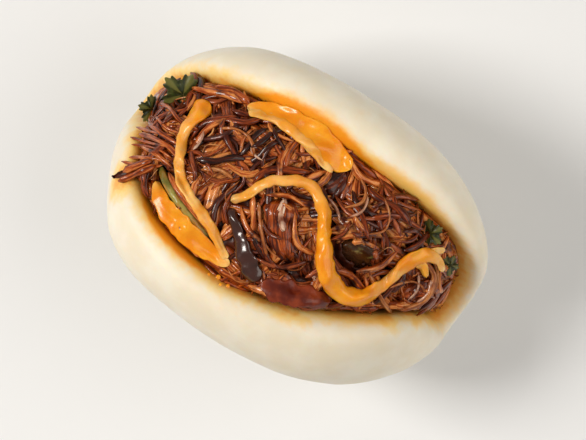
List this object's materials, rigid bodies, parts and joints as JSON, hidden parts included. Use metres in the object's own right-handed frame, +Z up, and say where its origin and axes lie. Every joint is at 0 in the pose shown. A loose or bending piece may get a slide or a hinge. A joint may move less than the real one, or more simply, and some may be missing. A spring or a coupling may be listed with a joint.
{
  "type": "brisket gua bao",
  "caption": "Steamed bun folded round pulled brisket, with a thick orange drizzle, cucumber and coriander, mouth up.",
  "frame": {"origin": "middle of the flat underside of the fold, which the bun stands on", "axes": "+Z up, +X along the fold, +Y towards the back lobe"},
  "size_m": [0.104, 0.0759, 0.0737],
  "materials": {
    "steamed_dough": "soft steamed wheat dough, cream white, with a faint skin sheen",
    "brisket": "slow-cooked pulled beef, wet with dark gravy",
    "chilli_mayonnaise": "thick orange chilli mayonnaise, glossy",
    "cucumber": "fresh cucumber, pale olive flesh and dark green skin",
    "coriander": "dark green herb leaf, slightly wilted"
  },
  "bodies": {
    "root": {"steamed_bun": "steamed_dough", "brisket_heap": "brisket", "cucumber_slice_front": "cucumber", "cucumber_piece_middle": "cucumber", "coriander_leaf_left": "coriander", "coriander_leaf_end": "coriander", "coriander_leaf_back": "coriander", "coriander_leaf_right": "coriander"}
  },
  "joints": []
}
